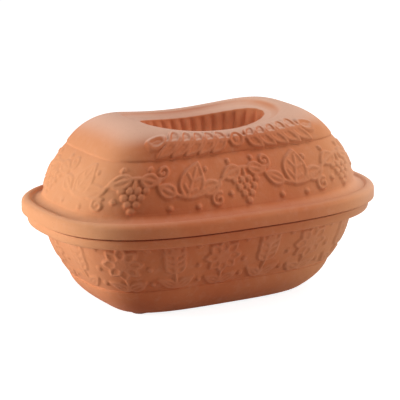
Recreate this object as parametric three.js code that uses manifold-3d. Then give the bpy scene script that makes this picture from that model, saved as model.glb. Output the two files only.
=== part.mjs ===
import * as THREE from 'three';
import { mergeVertices } from 'three/addons/utils/BufferGeometryUtils.js';
import Module from 'manifold-3d';

// Clay roaster: a deep dish of fired clay and a domed lid that stands on its rim.
// Millimetres, +Z up, the length along X, the feet on Z = 0 under the middle of the dish.
// Every level of both pieces is a rounded oblong, so each piece is a stack of such levels.

// Plan of the lid's flange, the widest level of the roaster
const FLANGE_LENGTH = 345;
const FLANGE_WIDTH = 224;

// Squareness of the plan, as the power of a superellipse: 2 is an ellipse
const FLANGE_POWER = 2.85;
const CROWN_POWER = 4.6;
const CREST_POWER = 3.2;
const MOUTH_POWER = 2.0;
const SKIRT_POWER = 3.5;

// Clay, and the room between the two pieces
const WALL = 8;
const SEAT_GAP = 0.3;
const TONGUE_CLEARANCE = 1.5;
const LEDGE_CLEARANCE = 1;

// Dish
const DISH_HEIGHT = 91.5;
const FOOT_HEIGHT = 2;
const FOOT_LENGTH = 30;
const FOOT_WIDTH = 13;
const FOOT_INSET_X = 22;
const FOOT_INSET_Y = 16;
const BOTTOM_LENGTH = 190;
const BOTTOM_WIDTH = 90;
const BOTTOM_ROUND = 9;
const HEEL_OUT = 7;
const HEEL_RISE = 2;
const SKIRT_HEIGHT = 29.9;
const SKIRT_LENGTH = 255;
const SKIRT_WIDTH = 138;
const SKIRT_BULGE = 3.5;
const DISH_WALL_BULGE = 3.5;
const RIM_SETBACK = 5;
const RIM_HEIGHT = 8.3;
const RIM_ROUND = 3;
const RIM_EDGE = 1;
const RIM_OVERHANG = 16;
const RIM_LAND = 12;
const REBATE_DEPTH = 5;

// Lid
const FLANGE_HEIGHT = 13.5;
const FLANGE_ROUND = 5.5;
const FLANGE_EDGE = 1.5;
const LIP_WIDTH = 1.5;
const GROOVE_DEPTH = 2.2;
const GROOVE_SETBACK = 9.2;
const COVE_SETBACK = 15.4;
const COVE_RISE = 2.4;
const LID_WALL_SETBACK = 18.5;
const LID_WALL_RISE = 17.2;
const LID_WALL_BULGE = 2.3;
const CROWN_RISE = 64.6;
const CROWN_LENGTH = 248;
const CROWN_WIDTH = 139;
const CREST_RISE = 91.2;
const CREST_DIP = 9.6;
const CREST_LENGTH = 161;
const CREST_WIDTH = 106;
const SHOULDER_SETBACK_X = 18.9;
const SHOULDER_SETBACK_Y = 1.5;

// Depth of the dish's sunk field, and of the faint step from the lid's field to its crown
const FIELD_DEPTH = 0.8;
const CROWN_STEP = 0.35;

// Grip hollow in the top of the lid, with upright flutes round its wall
const MOUTH_LENGTH = 124;
const MOUTH_WIDTH = 67.6;
const MOUTH_DROP = 7.2;
const MOUTH_SIDE_DROP = 4.8;
const SHELF_SHARE = 0.55;
const SHELF_SLOPE = 0.8;
const HOLLOW_DEPTH = 44;
const HOLLOW_FLOOR_LENGTH = 90;
const HOLLOW_FLOOR_WIDTH = 34;
const HOLLOW_HEEL_OUT = 6.3;
const HOLLOW_HEEL_RISE = 5.4;
const HOLLOW_BULGE = 2;
const FLUTE_COUNT = 22;
const FLUTE_DEPTH = 2.4;

// Relief: lines, given by half widths, and mounds, raised out of the walls and rooted in them
const LINE_ROOT = 2.2;
const LINE_BACK = 0.9;
const LINE_HEIGHT = 1.6;
const MOUND_HEIGHT = 1.3;
const MOUND_BACK = 0.62;
const RELIEF_ROOT = 1.2;

// Share of its height that the relief keeps on the ends, where it is pressed less deep
const END_RELIEF = 0.4;

// Powers that shape a leaf: how near its stalk it is widest, and how full its edge is
const LEAF_BELLY = 0.8;
const LEAF_FULLNESS = 0.9;

// Middle of a field, as a share of the way up it
const FIELD_MIDDLE = 0.5;

// Running vine round the lid, drawn wave by wave: heights are from the middle of the field, places along a
// wave are shares of it, and leaves are [place, height, turn in degrees, length, width, steps of an edge]
const VINE_WAVES = 7;
const VINE_RISE = 11;
const VINE_LEAVES = [
  [0.7, -11, 68, 36, 26, 3],
  [0.83, -6, 12, 22, 14, 2],
  [0.6, -7, 152, 20, 13, 2],
  [0.21, 10, 196, 21, 14, 2],
  [0.3, 10, -12, 19, 13, 2],
];
const BUNCH_PLACE = 0.25;
const BUNCH_ROWS = [4, 3, 2, 1];
const BUNCH_TOP = -0.5;
const BERRY_SPACING = 7.6;
const BERRY_DROP = 6.6;
const BERRY_RADIUS = 3.1;

// Ears of wheat and daisies round the dish, in pairs, with the same measures
const SHEAF_COUNT = 8;
const SHEAF_FOOT = -25;
const EAR_PLACE = 0.25;
const EAR_STEM_TOP = 10;
const GRAIN_ROWS = 4;
const GRAIN_FOOT = -5;
const GRAIN_SPACING = 6.6;
const GRAIN_TURN = 42;
const GRAIN_LENGTH = 12.5;
const GRAIN_WIDTH = 10;
const EAR_TIP = 14;
const EAR_BLADE = { turn: 56, length: 21, width: 10 };
const DAISY_PLACE = 0.75;
const DAISY_HEIGHT = 6.5;
const DAISY_EYE = 5;
const DAISY_STEM_TOP = -11;
const PETALS = 8;
const PETAL_FOOT = 4.6;
const PETAL_LENGTH = 14;
const PETAL_WIDTH = 11;
const DAISY_BLADE = { turn: 64, length: 19, width: 10.5 };

// Leafy twigs along the front of the crown, which meet at a boss
const GARLAND_SHARE = 0.375;
const GARLAND_REACH = 74;
const GARLAND_BOSS = 8;
const TWIG_LEAVES = 5;
const TWIG_FOOT = 12;
const TWIG_TURN = 38;
const TWIG_LEAF_LENGTH = 16;
const TWIG_LEAF_WIDTH = 10;

// Fineness of the relief
const WAVE_STEPS = 8;
const LEAFLET_STEPS = 2;
const BOSS_SIDES = 6;
const NUDGE = 0.002;

// Fineness of the stacks, and shares of the way along a wall at which a level is set
const STEPS_PER_FLUTE = 4;
const DISH_POINTS = 72;
const PAD_SIDES = 24;
const LID_POINTS = FLUTE_COUNT * STEPS_PER_FLUTE;
const CAVITY_POINTS = 48;
const ARC_STEPS = 720;
const WALL_SHARES = [0.35, 0.7];
const INNER_WALL_SHARES = [0.5];
const DOME_SHARES = [0.25, 0.5, 0.75];
const ROUND_SHARES = [1 / 3, 2 / 3, 1];
const LIP_SHARE = 0.5;
const HOLLOW_SHARE = 0.65;

// Drop of an inner level, per thickness of the leaning wall
const LEAN = 0.4;

const CLAY_COLOUR = 0xc98762;
const CLAY_ROUGHNESS = 0.88;

// One level: half sizes, squareness, height at the ends and at the long sides, fluting
function level(length, width, power, endZ, sideZ = endZ, flute = 0) {
  return { a: length / 2, b: width / 2, power, endZ, sideZ, flute };
}

// The flange's plan drawn in by a setback
function setback(inset, z) {
  return level(FLANGE_LENGTH - 2 * inset, FLANGE_WIDTH - 2 * inset, FLANGE_POWER, z);
}

// A level drawn in (or out) all round and moved to another height
function drawn(from, inset, rise = 0) {
  return { ...from, a: from.a - inset, b: from.b - inset, endZ: from.endZ + rise, sideZ: from.sideZ + rise };
}

// A level a share of the way from one to another, swollen by a bulge
function between(low, high, share, bulge = 0) {
  const mix = (key) => THREE.MathUtils.lerp(low[key], high[key], share);
  const swell = 4 * share * (1 - share) * bulge;
  return {
    a: mix('a') + swell,
    b: mix('b') + swell,
    power: mix('power'),
    endZ: mix('endZ'),
    sideZ: mix('sideZ'),
    flute: mix('flute'),
  };
}

// A level on the bend that leaves one level towards a corner and arrives at another
function bend(from, corner, to, share) {
  return between(between(from, corner, share), between(corner, to, share), share);
}

// Levels at several shares of a swollen wall
function swollen(low, high, bulge, shares = WALL_SHARES) {
  return shares.map((share) => between(low, high, share, bulge));
}

// Levels at several shares of a bend
function curved(from, corner, to, shares) {
  return shares.map((share) => bend(from, corner, to, share));
}

// Levels of a quarter round that leaves an upright face
function roundOver(face, radius) {
  return ROUND_SHARES.map((share) => {
    const angle = (share * Math.PI) / 2;
    return drawn(face, radius * (1 - Math.cos(angle)), radius * Math.sin(angle));
  });
}

// The plan curve of one level; its height eases from the ends to the long sides
class Outline extends THREE.Curve {
  constructor(shape) {
    super();
    this.shape = shape;
    this.arcLengthDivisions = ARC_STEPS;
  }

  getPoint(t, target = new THREE.Vector3()) {
    const { a, b, power, endZ, sideZ } = this.shape;
    const angle = 2 * Math.PI * t;
    const c = Math.cos(angle);
    const s = Math.sin(angle);
    const reach = (Math.abs(c / a) ** power + Math.abs(s / b) ** power) ** (-1 / power);
    const x = reach * c;
    return target.set(x, reach * s, THREE.MathUtils.lerp(sideZ, endZ, (x / a) ** 2));
  }
}

// Evenly spaced points round a level, moved in and out where the wall is fluted
function pointsRound(shape, count) {
  const points = new Outline(shape).getSpacedPoints(count);
  points.pop();
  return points.map((point, i) => {
    const wave = -Math.cos((2 * Math.PI * i) / STEPS_PER_FLUTE) * shape.flute * 0.5;
    const outward = new THREE.Vector3(point.x / shape.a ** 2, point.y / shape.b ** 2, 0).normalize();
    return point.clone().addScaledVector(outward, wave);
  });
}

// A closed skin over rings of points, which ends in two poles or runs back into its first ring;
// a ring turned into the way faces outwards
function skin(rings, poles = []) {
  const count = rings[0].length;
  const bands = poles.length ? rings.length - 1 : rings.length;
  const triangles = [];
  const at = (ring, i) => (ring % rings.length) * count + (i % count);
  for (let ring = 0; ring < bands; ring += 1) {
    for (let i = 0; i < count; i += 1) {
      triangles.push(at(ring, i), at(ring, i + 1), at(ring + 1, i));
      triangles.push(at(ring, i + 1), at(ring + 1, i + 1), at(ring + 1, i));
    }
  }
  if (poles.length) {
    const pole = rings.length * count;
    for (let i = 0; i < count; i += 1) {
      triangles.push(pole, at(0, i + 1), at(0, i));
      triangles.push(pole + 1, at(bands, i), at(bands, i + 1));
    }
  }
  const geometry = new THREE.BufferGeometry().setFromPoints([...rings.flat(), ...poles]);
  geometry.setIndex(triangles);
  return geometry;
}

// A wall of levels, listed along it with the clay on the left of the way
function stack(levels, count) {
  const rings = levels.map((shape) => pointsRound(shape, count));
  const middle = (shape) => new THREE.Vector3(0, 0, shape.sideZ);
  return skin(rings, [middle(levels[0]), middle(levels.at(-1))]);
}

const wasm = await Module();
wasm.setup();

// A three.js geometry as a solid that can be joined to others
function solid(geometry) {
  const bare = geometry.clone();
  bare.deleteAttribute('normal');
  bare.deleteAttribute('uv');
  const merged = mergeVertices(bare, 1e-4);
  return new wasm.Manifold(new wasm.Mesh({
    numProp: 3,
    vertProperties: new Float32Array(merged.attributes.position.array),
    triVerts: new Uint32Array(merged.index.array),
  }));
}

// A joined solid as a three.js geometry again
function geometryOf(body) {
  const mesh = body.getMesh();
  const geometry = new THREE.BufferGeometry();
  geometry.setAttribute('position', new THREE.BufferAttribute(mesh.vertProperties.slice(), 3));
  geometry.setIndex(new THREE.BufferAttribute(mesh.triVerts.slice(), 1));
  return geometry;
}

// A flat place
function flat(across, up) {
  return new THREE.Vector2(across, up);
}

// A stretch of wall as a sheet on which relief is drawn flat: across goes round it, up along it
class Field {
  constructor(levelAt, middle) {
    this.levelAt = levelAt;
    this.middle = middle;
    this.round = new Outline(levelAt(middle)).getLength();
    const side = 0.25;
    const low = this.spot(side, middle - NUDGE);
    this.tall = low.distanceTo(this.spot(side, middle + NUDGE)) / (2 * NUDGE);
  }

  // The point at a share of the way round and up
  spot(turn, share) {
    return new Outline(this.levelAt(share)).getPointAt(THREE.MathUtils.euclideanModulo(turn, 1));
  }

  // The point at a flat place, moved out of the wall by a height, or as much of it as that side gets
  at(place, height) {
    const turn = place.x / this.round;
    const share = this.middle + place.y / this.tall;
    const across = this.spot(turn + NUDGE, share).sub(this.spot(turn - NUDGE, share));
    const up = this.spot(turn, share + NUDGE).sub(this.spot(turn, share - NUDGE));
    const outward = across.cross(up).normalize();
    const sideways = Math.abs(outward.y) / Math.hypot(outward.x, outward.y);
    const kept = height > 0 ? THREE.MathUtils.lerp(END_RELIEF, 1, sideways) : 1;
    return this.spot(turn, share).addScaledVector(outward, height * kept);
  }

  // A line along a run of flat places, which ends there or goes right round the wall
  line(run, closed = false) {
    const last = run.length - 1;
    const near = (i) => {
      if (!closed) return run[THREE.MathUtils.clamp(i, 0, last)].clone();
      const rounds = Math.floor(i / run.length);
      return run.at(i % run.length).clone().add(flat(rounds * this.round, 0));
    };
    const rings = run.map((place, i) => {
      const way = near(i + 1).sub(near(i - 1)).normalize();
      const left = flat(-way.y, way.x);
      const beside = (distance, height) => this.at(place.clone().addScaledVector(left, distance), height);
      return [
        beside(-LINE_ROOT, -RELIEF_ROOT),
        beside(LINE_ROOT, -RELIEF_ROOT),
        beside(LINE_BACK, LINE_HEIGHT),
        beside(-LINE_BACK, LINE_HEIGHT),
      ];
    });
    const centre = (ring) => ring[0].clone().add(ring[2]).divideScalar(2);
    return solid(skin(rings, closed ? [] : [centre(rings[0]), centre(rings[last])]));
  }

  // A mound over an outline that turns to the left
  mound(outline) {
    const middle = outline.reduce((sum, place) => sum.add(place), new THREE.Vector2());
    middle.divideScalar(outline.length);
    const back = outline.map((place) => middle.clone().lerp(place, MOUND_BACK));
    const rings = [
      outline.map((place) => this.at(place, -RELIEF_ROOT)),
      back.map((place) => this.at(place, MOUND_HEIGHT)),
    ];
    return solid(skin(rings, [this.at(middle, -RELIEF_ROOT), this.at(middle, MOUND_HEIGHT)]));
  }
}

// One edge of a pointed leaf along +X from its stalk
function leafEdge(length, width, steps, side) {
  return Array.from({ length: steps + 1 }, (_, i) => {
    const share = i / steps;
    const swell = Math.max(Math.sin(Math.PI * share ** LEAF_BELLY), 0);
    return flat(share * length, side * (width / 2) * swell ** LEAF_FULLNESS);
  });
}

// Flat places turned by degrees about the stalk and put where it grows
function grown(run, degrees, foot) {
  const angle = THREE.MathUtils.degToRad(degrees);
  return run.map((place) => place.clone().rotateAround(flat(0, 0), angle).add(foot));
}

// A leaf as a mound
function leafMound(field, length, width, degrees, foot, steps = LEAFLET_STEPS) {
  const under = leafEdge(length, width, steps, -1);
  const over = leafEdge(length, width, steps, 1).slice(1, -1).reverse();
  return field.mound(grown([...under, ...over], degrees, foot));
}

// A round mound
function bossMound(field, radius, place) {
  const outline = Array.from({ length: BOSS_SIDES }, (_, i) => {
    const angle = (2 * Math.PI * i) / BOSS_SIDES;
    return flat(radius * Math.cos(angle), radius * Math.sin(angle)).add(place);
  });
  return field.mound(outline);
}

// The outline round one row of a bunch's berries
function berryRow(length, centre) {
  const end = length / 2 + BERRY_RADIUS / 2;
  const outer = length / 2 + BERRY_RADIUS;
  return [
    flat(-end, -BERRY_RADIUS),
    flat(end, -BERRY_RADIUS),
    flat(outer, 0),
    flat(end, BERRY_RADIUS),
    flat(-end, BERRY_RADIUS),
    flat(-outer, 0),
  ].map((place) => place.add(centre));
}

// The vine's stem, in waves right round the lid
function vineStem(field) {
  const steps = VINE_WAVES * WAVE_STEPS;
  const run = Array.from({ length: steps }, (_, i) => {
    return flat((i / steps) * field.round, VINE_RISE * Math.sin((2 * Math.PI * i) / WAVE_STEPS));
  });
  return field.line(run, true);
}

// What grows on one wave of the stem: leaves and a bunch of grapes
function vineWave(field, start) {
  const wave = field.round / VINE_WAVES;
  const on = (share, up) => flat(start + share * wave, up);
  const leaves = VINE_LEAVES.map(([share, up, degrees, length, width, steps]) => {
    return leafMound(field, length, width, degrees, on(share, up), steps);
  });
  const bunch = BUNCH_ROWS.map((berries, row) => {
    const centre = on(BUNCH_PLACE, BUNCH_TOP - row * BERRY_DROP);
    return field.mound(berryRow((berries - 1) * BERRY_SPACING, centre));
  });
  return [...leaves, ...bunch];
}

// An ear of wheat and a daisy, each with two blades at its foot
function sheaf(field, start) {
  const pair = field.round / SHEAF_COUNT;
  const upright = 90;
  const ear = start + EAR_PLACE * pair;
  const daisy = start + DAISY_PLACE * pair;
  const parts = [
    field.line([flat(ear, SHEAF_FOOT), flat(ear, 0), flat(ear, EAR_STEM_TOP)]),
    field.line([flat(daisy, SHEAF_FOOT), flat(daisy, DAISY_STEM_TOP)]),
    leafMound(field, GRAIN_LENGTH, GRAIN_WIDTH, upright, flat(ear, EAR_TIP)),
    bossMound(field, DAISY_EYE, flat(daisy, DAISY_HEIGHT)),
  ];
  for (const side of [-1, 1]) {
    for (let row = 0; row < GRAIN_ROWS; row += 1) {
      const foot = flat(ear + side, GRAIN_FOOT + row * GRAIN_SPACING);
      parts.push(leafMound(field, GRAIN_LENGTH, GRAIN_WIDTH, upright - side * GRAIN_TURN, foot));
    }
    for (const [at, blade] of [[ear, EAR_BLADE], [daisy, DAISY_BLADE]]) {
      const turn = upright - side * blade.turn;
      parts.push(leafMound(field, blade.length, blade.width, turn, flat(at, SHEAF_FOOT)));
    }
  }
  for (let i = 0; i < PETALS; i += 1) {
    const turn = upright + (360 * i) / PETALS;
    const angle = THREE.MathUtils.degToRad(turn);
    const foot = flat(PETAL_FOOT * Math.cos(angle), PETAL_FOOT * Math.sin(angle));
    parts.push(leafMound(field, PETAL_LENGTH, PETAL_WIDTH, turn, foot.add(flat(daisy, DAISY_HEIGHT))));
  }
  return parts;
}

// Two leafy twigs on either side of a boss
function garland(field, middle) {
  const parts = [bossMound(field, GARLAND_BOSS, flat(middle, 0))];
  const spacing = (GARLAND_REACH - TWIG_FOOT) / TWIG_LEAVES;
  for (const back of [0, 180]) {
    const side = back ? -1 : 1;
    const along = (distance) => flat(middle + side * distance, 0);
    parts.push(field.line([along(TWIG_FOOT), along((TWIG_FOOT + GARLAND_REACH) / 2), along(GARLAND_REACH)]));
    parts.push(leafMound(field, TWIG_LEAF_LENGTH, TWIG_LEAF_WIDTH, back, along(GARLAND_REACH)));
    for (let i = 0; i < TWIG_LEAVES; i += 1) {
      for (const turn of [-TWIG_TURN, TWIG_TURN]) {
        const foot = along(TWIG_FOOT + i * spacing);
        parts.push(leafMound(field, TWIG_LEAF_LENGTH, TWIG_LEAF_WIDTH, back + turn, foot));
      }
    }
  }
  return parts;
}

// Motifs repeated evenly round a field
function repeated(count, field, motif) {
  return Array.from({ length: count }, (_, i) => motif(field, (i * field.round) / count)).flat();
}

// Where the dish and the lid meet
const seatZ = DISH_HEIGHT + SEAT_GAP;
const landInset = RIM_SETBACK + RIM_LAND;
const ledgeZ = DISH_HEIGHT - REBATE_DEPTH;

// Dish: underside, rounded skirt, sunk field, neck and rim, then down inside to the floor
function dishParts() {
  const bottom = level(BOTTOM_LENGTH, BOTTOM_WIDTH, SKIRT_POWER, FOOT_HEIGHT);
  const heel = drawn(bottom, -HEEL_OUT, HEEL_RISE);
  const skirtTop = level(SKIRT_LENGTH, SKIRT_WIDTH, SKIRT_POWER, SKIRT_HEIGHT);
  const fieldFoot = drawn(skirtTop, FIELD_DEPTH, FIELD_DEPTH);
  const rimFootZ = DISH_HEIGHT - RIM_HEIGHT + RIM_ROUND;
  const rimFoot = setback(RIM_SETBACK, rimFootZ);
  const rimTop = setback(RIM_SETBACK, DISH_HEIGHT);
  const neck = drawn(rimFoot, RIM_OVERHANG, -2 * RIM_ROUND);
  const throat = { ...drawn(neck, WALL), endZ: ledgeZ, sideZ: ledgeZ };
  const coveZ = SKIRT_HEIGHT + WALL / 2;
  const cove = { ...drawn(skirtTop, WALL), endZ: coveZ, sideZ: coveZ };
  const floorEdge = drawn(bottom, WALL / 2, WALL);
  const shell = stack([
    drawn(bottom, BOTTOM_ROUND),
    bottom,
    heel,
    ...swollen(heel, skirtTop, SKIRT_BULGE),
    skirtTop,
    fieldFoot,
    ...swollen(fieldFoot, neck, DISH_WALL_BULGE),
    neck,
    drawn(rimFoot, RIM_ROUND, -2 * RIM_ROUND),
    drawn(rimFoot, RIM_ROUND / 3, -RIM_ROUND),
    rimFoot,
    drawn(rimTop, 0, -RIM_EDGE),
    drawn(rimTop, RIM_EDGE),
    setback(landInset, DISH_HEIGHT),
    setback(landInset, ledgeZ),
    throat,
    ...swollen(throat, cove, DISH_WALL_BULGE, INNER_WALL_SHARES),
    cove,
    ...swollen(cove, floorEdge, SKIRT_BULGE, INNER_WALL_SHARES),
    floorEdge,
  ], DISH_POINTS);
  const field = new Field((share) => between(fieldFoot, neck, share, DISH_WALL_BULGE), FIELD_MIDDLE);
  return [solid(shell), ...repeated(SHEAF_COUNT, field, sheaf)];
}

// The dish stands on four low pads, one near each corner of its underside
function dishGeometry() {
  const parts = dishParts();
  const sunk = WALL / 2;
  for (const sideX of [-1, 1]) {
    for (const sideY of [-1, 1]) {
      const pad = new THREE.CylinderGeometry(0.5, 0.5, FOOT_HEIGHT + sunk, PAD_SIDES);
      pad.rotateX(Math.PI / 2);
      pad.scale(FOOT_LENGTH, FOOT_WIDTH, 1);
      const x = sideX * (BOTTOM_LENGTH / 2 - FOOT_INSET_X);
      const y = sideY * (BOTTOM_WIDTH / 2 - FOOT_INSET_Y);
      pad.translate(x, y, (FOOT_HEIGHT + sunk) / 2);
      parts.push(solid(pad));
    }
  }
  return geometryOf(wasm.Manifold.union(parts));
}

// Lid: tongue, seat, flange, wall, crown and hollow, and the cavity under them
function lidGeometry() {
  const crestZ = DISH_HEIGHT + CREST_RISE;
  const crest = level(CREST_LENGTH, CREST_WIDTH, CREST_POWER, crestZ, crestZ - CREST_DIP);
  const mouthEndZ = crestZ - MOUTH_DROP;
  const mouthSideZ = crestZ - CREST_DIP - MOUTH_SIDE_DROP;
  const mouth = level(MOUTH_LENGTH, MOUTH_WIDTH, MOUTH_POWER, mouthEndZ, mouthSideZ, FLUTE_DEPTH / 3);
  const shelf = {
    ...between(mouth, crest, SHELF_SHARE),
    endZ: mouthEndZ + SHELF_SLOPE,
    sideZ: mouthSideZ + SHELF_SLOPE,
    flute: 0,
  };
  const hollowFloor = level(HOLLOW_FLOOR_LENGTH, HOLLOW_FLOOR_WIDTH, MOUTH_POWER, crestZ - HOLLOW_DEPTH);
  const hollowHeel = { ...drawn(hollowFloor, -HOLLOW_HEEL_OUT, HOLLOW_HEEL_RISE), flute: FLUTE_DEPTH / 2 };
  const hollowWall = { ...between(hollowHeel, mouth, HOLLOW_SHARE, HOLLOW_BULGE), flute: FLUTE_DEPTH };

  const crown = level(CROWN_LENGTH, CROWN_WIDTH, CROWN_POWER, DISH_HEIGHT + CROWN_RISE);
  const crownLip = drawn(crown, -CROWN_STEP, CROWN_STEP);
  const shoulder = { ...crest, a: crown.a - SHOULDER_SETBACK_X, b: crown.b - SHOULDER_SETBACK_Y };

  const wallFoot = setback(LID_WALL_SETBACK, DISH_HEIGHT + LID_WALL_RISE);
  const flangeTop = seatZ + FLANGE_HEIGHT;
  const grooveZ = flangeTop - GROOVE_DEPTH;
  const face = setback(0, flangeTop - FLANGE_ROUND);

  const tongueInset = landInset + TONGUE_CLEARANCE;
  const tongueZ = ledgeZ + LEDGE_CLEARANCE;
  const innerInset = LID_WALL_SETBACK + WALL;
  const innerFoot = setback(innerInset, flangeTop);
  const innerCrown = drawn(crown, WALL, -WALL * LEAN);
  const innerShoulder = drawn(shoulder, WALL, -WALL);
  const innerCrest = drawn(crest, 0, -WALL);

  const cavity = stack([
    setback(innerInset, tongueZ - WALL),
    innerFoot,
    ...swollen(innerFoot, innerCrown, LID_WALL_BULGE, INNER_WALL_SHARES),
    innerCrown,
    ...curved(innerCrown, innerShoulder, innerCrest, INNER_WALL_SHARES),
    innerCrest,
    drawn(hollowWall, -WALL, -WALL * LEAN),
    drawn(hollowHeel, -WALL, -WALL * LEAN),
    drawn(hollowFloor, 0, -WALL),
  ].map((shape) => ({ ...shape, flute: 0 })), CAVITY_POINTS);
  const shell = stack([
    setback(tongueInset, tongueZ),
    setback(tongueInset, seatZ),
    setback(FLANGE_EDGE, seatZ),
    setback(0, seatZ + FLANGE_EDGE),
    face,
    ...roundOver(face, FLANGE_ROUND),
    setback(FLANGE_ROUND + LIP_WIDTH, flangeTop),
    setback(GROOVE_SETBACK, grooveZ),
    setback(COVE_SETBACK, grooveZ + COVE_RISE),
    wallFoot,
    ...swollen(wallFoot, crown, LID_WALL_BULGE),
    crown,
    crownLip,
    ...curved(crownLip, shoulder, crest, DOME_SHARES),
    crest,
    between(crest, shelf, LIP_SHARE),
    shelf,
    mouth,
    hollowWall,
    hollowHeel,
    hollowFloor,
  ], LID_POINTS);
  const field = new Field((share) => between(wallFoot, crown, share, LID_WALL_BULGE), FIELD_MIDDLE);
  const dome = new Field((share) => bend(crownLip, shoulder, crest, share), GARLAND_SHARE);
  const vine = [vineStem(field), ...repeated(VINE_WAVES, field, vineWave)];
  const front = 0.75 * dome.round;
  const body = solid(shell).subtract(solid(cavity));
  return geometryOf(wasm.Manifold.union([body, ...vine, ...garland(dome, front)]));
}

// A named piece of fired clay
function piece(name, geometry) {
  const clay = new THREE.MeshStandardMaterial({
    color: CLAY_COLOUR,
    roughness: CLAY_ROUGHNESS,
    metalness: 0,
  });
  const mesh = new THREE.Mesh(geometry, clay);
  mesh.name = name;
  return mesh;
}

const roaster = new THREE.Group();
roaster.add(piece('dish', dishGeometry()));
roaster.add(piece('lid', lidGeometry()));

export default roaster;
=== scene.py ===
import math

import bpy
import numpy as np
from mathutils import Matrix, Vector


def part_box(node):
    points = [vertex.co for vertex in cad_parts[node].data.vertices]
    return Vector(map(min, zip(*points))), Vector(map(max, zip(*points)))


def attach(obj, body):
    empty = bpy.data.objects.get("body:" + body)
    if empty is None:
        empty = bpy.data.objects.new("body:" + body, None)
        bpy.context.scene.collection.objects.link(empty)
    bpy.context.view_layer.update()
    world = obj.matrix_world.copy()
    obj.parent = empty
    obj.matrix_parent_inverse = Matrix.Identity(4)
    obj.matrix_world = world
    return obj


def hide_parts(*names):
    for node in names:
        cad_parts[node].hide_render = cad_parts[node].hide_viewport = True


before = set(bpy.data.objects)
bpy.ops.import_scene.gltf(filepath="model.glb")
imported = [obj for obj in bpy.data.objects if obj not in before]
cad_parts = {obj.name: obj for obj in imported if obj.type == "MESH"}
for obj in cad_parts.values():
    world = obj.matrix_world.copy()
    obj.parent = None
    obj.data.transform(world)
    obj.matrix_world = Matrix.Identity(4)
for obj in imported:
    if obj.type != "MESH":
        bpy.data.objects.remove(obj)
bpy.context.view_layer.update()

bl_info = {
    "name": "Clay Roaster",
    "version": (1, 0, 0),
    "blender": (4, 5, 0),
    "location": "3D View > Sidebar > Roaster",
    "description": "Lidded roaster of unglazed terracotta with raised line ornament",
    "category": "Object",
}

DISH_LOW, DISH_HIGH = (np.array(corner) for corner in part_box("dish"))
LID_LOW, LID_HIGH = (np.array(corner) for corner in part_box("lid"))

# Fineness of the skins: points round an ornamented band, half as many on plain clay
POINTS_ROUND = 740
ARC_STEPS = 2880
FIELD_ROWS = 44
CROWN_ROWS = 24

# Rows counted back from the upper edge of a band to the middle of its ornament
DISH_FIELD_BACK = 22
LID_FIELD_BACK = 25
CROWN_BACK = 15

# Where the middle of the front is, as a part of the way round from +X
FRONT = 0.75

# Rounding of pressed edges and size of the floor, in metres
EDGE = 0.001
FLOOR_SIZE = 16.0

# Part of a rib's height that is sunk, and of a raised line's half width that is flat on top
RIB_SUNK = 0.6
FLAT_TOP = 0.32

# Outer edge of a foot and width of its slope, as parts of its half size
FOOT_REACH = 1.35
FOOT_SLOPE = 0.4

WHITE = (1.0, 1.0, 1.0, 1.0)


def linear(hex_colour):
    """Linear colour of an sRGB hex value such as c98762."""
    channels = [int(hex_colour[i:i + 2], 16) / 255 for i in (0, 2, 4)]
    return tuple(c / 12.92 if c <= 0.04045 else ((c + 0.055) / 1.055) ** 2.4 for c in channels)


def real(name, description, default, **kind):
    """A number that a user may change."""
    return bpy.props.FloatProperty(name=name, description=description, default=float(default), **kind)


def length(name, description, metres):
    """A size that a user may change."""
    return real(name, description, metres, unit="LENGTH", subtype="DISTANCE", precision=5)


def colour(name, description, hex_colour):
    """A colour that a user may change, written as sRGB."""
    return bpy.props.FloatVectorProperty(name=name, description=description, size=3, subtype="COLOR",
                                         default=linear(hex_colour), min=0.0, max=1.0)


def rounding(name, description, default):
    """The power of a rounded oblong; 2 is an ellipse, and a higher one is squarer."""
    return real(name, description, default, min=1.0)


def number(name, description, default):
    """How often something is repeated."""
    return bpy.props.IntProperty(name=name, description=description, default=default, min=1)


class RoasterPlan(bpy.types.PropertyGroup):
    """Outline that dish and lid share, seen from above."""

    length: length("Length", "Over the lid's flange, along X", LID_HIGH[0] - LID_LOW[0])
    width: length("Width", "Over the lid's flange, along Y", LID_HIGH[1] - LID_LOW[1])
    squareness: rounding("Squareness", "Power of the flange's outline", 2.85)
    wall: length("Wall", "Thickness of the clay", 0.008)
    seat: length("Seat", "Height of the lid's underside", 0.0918)
    field: length("Field Depth", "How deep the ornamented field of the dish is sunk", 0.0008)

    def setback(self, inset, z):
        """The flange's outline drawn in, at a height."""
        return level(self.length - 2 * inset, self.width - 2 * inset, self.squareness, z)


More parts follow.
